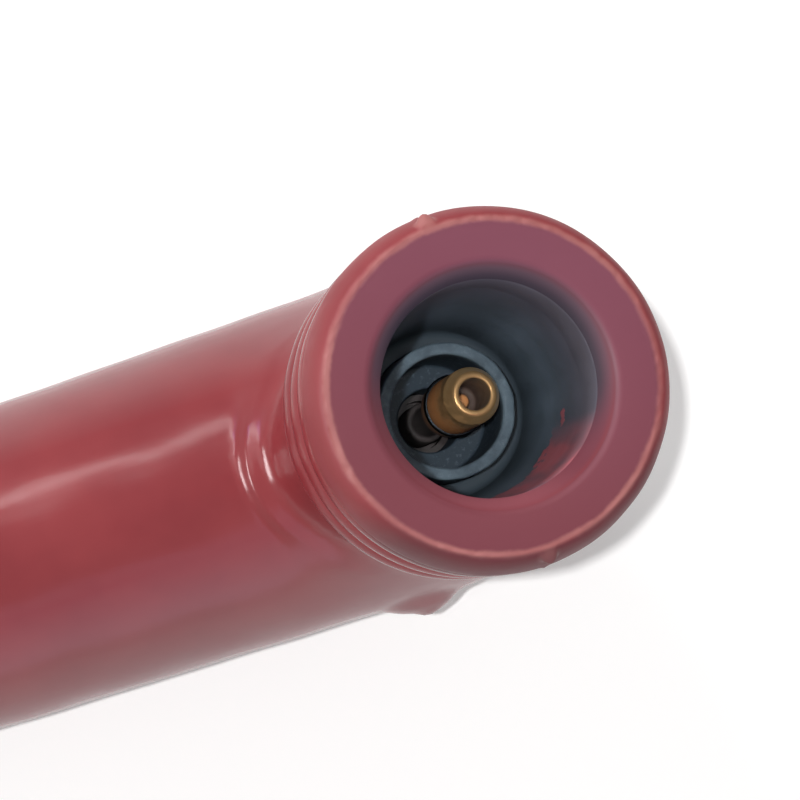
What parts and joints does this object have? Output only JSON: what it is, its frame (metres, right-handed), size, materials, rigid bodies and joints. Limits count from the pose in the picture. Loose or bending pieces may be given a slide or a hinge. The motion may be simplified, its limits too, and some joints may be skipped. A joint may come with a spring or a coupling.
{
  "type": "ignition coil",
  "caption": "Right-angle plug-top ignition coil: red L-shaped housing, ringed collar with a sprung brass contact, coil in the arm, clamp strap and blade connector.",
  "frame": {"origin": "on the mouth's axis, in the resting plane under the elbow pad", "axes": "+Z along the mouth's axis, out of the mouth; the coil's arm lies along -X; +Y across"},
  "size_m": [0.119, 0.0616, 0.065],
  "materials": {
    "housing_red": "moulded phenolic, satin to gloss",
    "liner_rubber": "matt",
    "tower_polymer": "matt, bluish grey",
    "brass": "turned, slightly tarnished",
    "spring_steel": "drawn wire",
    "ceramic": "fired, unglazed",
    "core_steel": "rolled sheet",
    "magnet": "nickel plated",
    "bobbin_polymer": "moulded",
    "copper_wire": "enamelled",
    "resin": "cast",
    "cap_nylon": "moulded, fine grain",
    "blade_brass": "tinned",
    "strap_steel": "zinc plated"
  },
  "bodies": {
    "root": {"housing_shell": "housing_red", "mouth_liner": "liner_rubber", "insulator_tower": "tower_polymer", "contact_spring": "spring_steel", "plunger_bush": "brass", "contact_stud": "brass", "resistor_rod": "ceramic", "resistor_front_cap": "brass", "resistor_rear_cap": "brass", "ht_contact": "brass", "core_laminations": "core_steel", "front_magnet": "magnet", "rear_magnet": "magnet", "front_cushion": "liner_rubber", "rear_cushion": "liner_rubber", "secondary_bobbin": "bobbin_polymer", "secondary_winding": "copper_wire", "primary_bobbin": "bobbin_polymer", "primary_winding": "copper_wire", "shield_sleeve": "core_steel", "potting_resin": "resin", "rear_cap": "cap_nylon", "cap_seal": "liner_rubber", "cap_pins": "spring_steel", "primary_blade": "blade_brass", "ground_blade": "blade_brass", "primary_lead": "copper_wire", "ground_lead": "copper_wire", "clamp_strap": "strap_steel", "strap_rubber": "liner_rubber"},
    "plunger": {"contact_plunger": "brass"},
    "ferrule": {"contact_ferrule": "brass", "ferrule_clip": "spring_steel"}
  },
  "joints": [
    {"name": "plunger_slide", "type": "slide", "parent": "root", "child": "plunger", "axis": [0, 0, 1], "range_m": [-0.002, 0], "stiffness_N_per_m": 800, "springref_m": 0.002, "deforming": ["contact_spring"]},
    {"name": "ferrule_rock", "type": "hinge", "parent": "plunger", "child": "ferrule", "pos_m": [0, 0, 0.0249], "axis": [-0.2419, 0.9703, 0], "range_deg": [-16, 0]}
  ]
}
